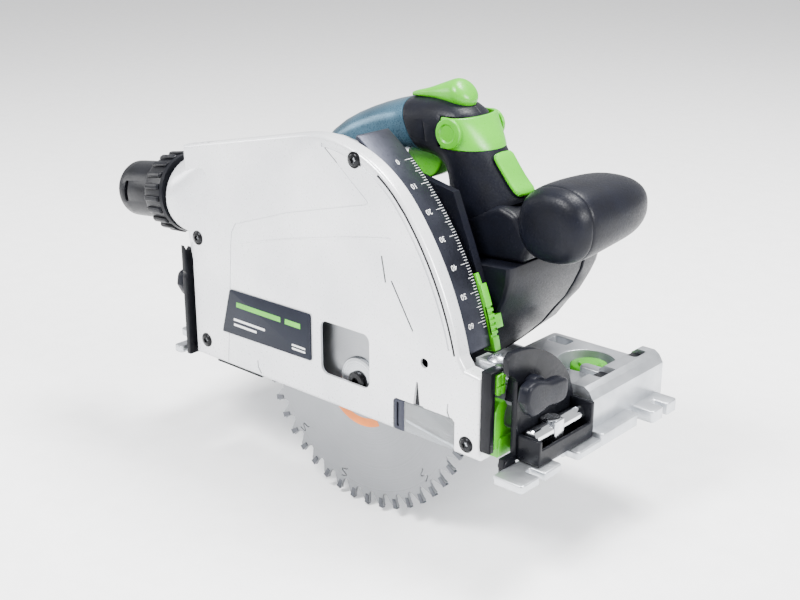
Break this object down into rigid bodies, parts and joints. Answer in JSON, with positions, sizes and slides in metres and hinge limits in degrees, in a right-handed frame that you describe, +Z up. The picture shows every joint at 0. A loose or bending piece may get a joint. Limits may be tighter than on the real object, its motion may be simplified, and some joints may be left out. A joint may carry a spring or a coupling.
{
  "type": "track plunge saw",
  "caption": "Track plunge saw: silvery-white blade housing, black motor unit with D-handle and round front handle, cast sole plate with bevel brackets, plunged to full depth",
  "frame": {"origin": "on the sole plane, level with the arbor (full plunge) and midway across the sole plate", "axes": "+X forward along the cut, +Y from the blade towards the motor, +Z up from the sole"},
  "size_m": [0.3749, 0.172, 0.2598],
  "materials": {
    "lacquered_housing": "silvery-white satin lacquer on cast magnesium",
    "cast_base": "bead-blasted cast aluminium with milled sole",
    "bare_steel": "machined and brushed steel",
    "polished_rod": "polished chrome plating",
    "black_shell": "textured blue-black glass-filled plastic",
    "slate_shell": "textured blue-grey glass-filled plastic",
    "green_control": "bright green moulded plastic",
    "copper_winding": "enamelled copper wire set in resin",
    "clear_panel": "clear moulded plastic"
  },
  "bodies": {
    "base": {"base_plate": "cast_base", "front_bevel_bracket": "black_shell", "rear_bevel_bracket": "black_shell", "front_guide_rod": "polished_rod", "rod_clamp": "polished_rod", "front_clamp_screw": "bare_steel", "rear_clamp_screw": "bare_steel"},
    "housing": {"blade_cover": "lacquered_housing", "inner_housing": "cast_base", "depth_scale": "black_shell", "front_tilt_plate": "cast_base", "rear_tilt_plate": "cast_base", "plunge_pivot_pin": "bare_steel", "plunge_spring": "bare_steel", "label_plate": "black_shell", "cover_screw_top": "bare_steel", "cover_screw_rear": "bare_steel", "cover_screw_low": "bare_steel", "cover_screw_front": "bare_steel", "chip_guard": "clear_panel", "splinter_guard_rail": "black_shell", "cut_pointer": "green_control"},
    "saw_unit": {"gear_case": "cast_base", "gear_cover": "cast_base", "motor_housing": "black_shell", "motor_end_cap": "black_shell", "stator": "bare_steel", "winding": "copper_winding", "spindle_bearing_front": "bare_steel", "spindle_bearing_rear": "bare_steel", "motor_bearing_front": "bare_steel", "motor_bearing_rear": "bare_steel", "handle_front_left": "black_shell", "handle_front_right": "black_shell", "handle_rear_left": "slate_shell", "handle_rear_right": "slate_shell", "leg_strip": "green_control", "switch_module": "black_shell", "front_handle_cap": "black_shell", "front_handle_grip": "black_shell"},
    "spindle_set": {"saw_blade": "bare_steel", "spindle": "bare_steel", "inner_flange": "bare_steel", "outer_flange": "bare_steel", "arbor_bolt": "bare_steel", "spindle_gear": "bare_steel"},
    "rotor": {"motor_shaft": "bare_steel", "rotor_core": "bare_steel", "cooling_fan": "black_shell"},
    "dust_port": {"dust_collar": "black_shell", "dust_tube": "black_shell"},
    "splinter_slide": {"splinter_guard": "green_control"},
    "depth_stop_body": {"depth_stop": "green_control"},
    "trigger_body": {"trigger": "green_control"},
    "plunge_lever_body": {"plunge_lever": "green_control"},
    "fixing_lever_body": {"fixing_lever": "green_control"},
    "front_knob_body": {"front_bevel_knob": "black_shell"},
    "rear_knob_body": {"rear_bevel_knob": "black_shell"},
    "front_wheel_body": {"front_jaw_wheel": "green_control"},
    "rear_wheel_body": {"rear_jaw_wheel": "green_control"}
  },
  "joints": [
    {"name": "bevel_tilt", "type": "hinge", "parent": "base", "child": "housing", "pos_m": [0, -0.062, 0.004], "axis": [1, 0, 0], "range_deg": [0, 47]},
    {"name": "plunge", "type": "hinge", "parent": "housing", "child": "saw_unit", "pos_m": [-0.1104, -0.044, 0.014], "axis": [0, -1, 0], "range_deg": [0, 35.28]},
    {"name": "spindle_spin", "type": "hinge", "parent": "saw_unit", "child": "spindle_set", "pos_m": [0, -0.058, 0.022], "axis": [0, 1, 0], "continuous": true},
    {"name": "rotor_spin", "type": "hinge", "parent": "saw_unit", "child": "rotor", "pos_m": [0.00803, 0.02, 0.04673], "axis": [0, 1, 0], "continuous": true},
    {"name": "dust_port_swivel", "type": "hinge", "parent": "housing", "child": "dust_port", "pos_m": [-0.172, -0.044, 0.107], "axis": [-0.9925, 0, -0.1219], "continuous": true},
    {"name": "splinter_guard_slide", "type": "slide", "parent": "housing", "child": "splinter_slide", "axis": [0, 0, 1], "range_m": [-0.003, 0.002]},
    {"name": "depth_stop_slide", "type": "hinge", "parent": "housing", "child": "depth_stop_body", "pos_m": [-0.1104, -0.026, 0.014], "axis": [0, -1, 0], "range_deg": [0, 31]},
    {"name": "trigger_pull", "type": "hinge", "parent": "saw_unit", "child": "trigger_body", "pos_m": [0.005, 0.015, 0.153], "axis": [0, 1, 0], "range_deg": [0, 8], "stiffness_Nm_per_rad": 0.5, "springref_deg": -11.46},
    {"name": "plunge_lever_push", "type": "slide", "parent": "saw_unit", "child": "plunge_lever_body", "axis": [1, 0, 0], "range_m": [0, 0.004], "stiffness_N_per_m": 400, "springref_m": -0.002},
    {"name": "fixing_lever_turn", "type": "hinge", "parent": "saw_unit", "child": "fixing_lever_body", "pos_m": [0.02, 0.015, 0.182], "axis": [0, -1, 0], "range_deg": [0, 30]},
    {"name": "front_knob_turn", "type": "hinge", "parent": "base", "child": "front_knob_body", "pos_m": [0.12, -0.046, 0.047], "axis": [1, 0, 0], "range_deg": [0, 120]},
    {"name": "rear_knob_turn", "type": "hinge", "parent": "base", "child": "rear_knob_body", "pos_m": [-0.16, -0.046, 0.047], "axis": [-1, 0, 0], "range_deg": [0, 120]},
    {"name": "front_wheel_turn", "type": "hinge", "parent": "base", "child": "front_wheel_body", "pos_m": [0.093, 0.051, 0.018], "axis": [0, 0, 1], "continuous": true},
    {"name": "rear_wheel_turn", "type": "hinge", "parent": "base", "child": "rear_wheel_body", "pos_m": [-0.152, 0.051, 0.018], "axis": [0, 0, 1], "continuous": true}
  ],
  "couplings": [
    {"joint": "rotor_spin", "follows": "spindle_spin", "ratio": -2.25}
  ]
}
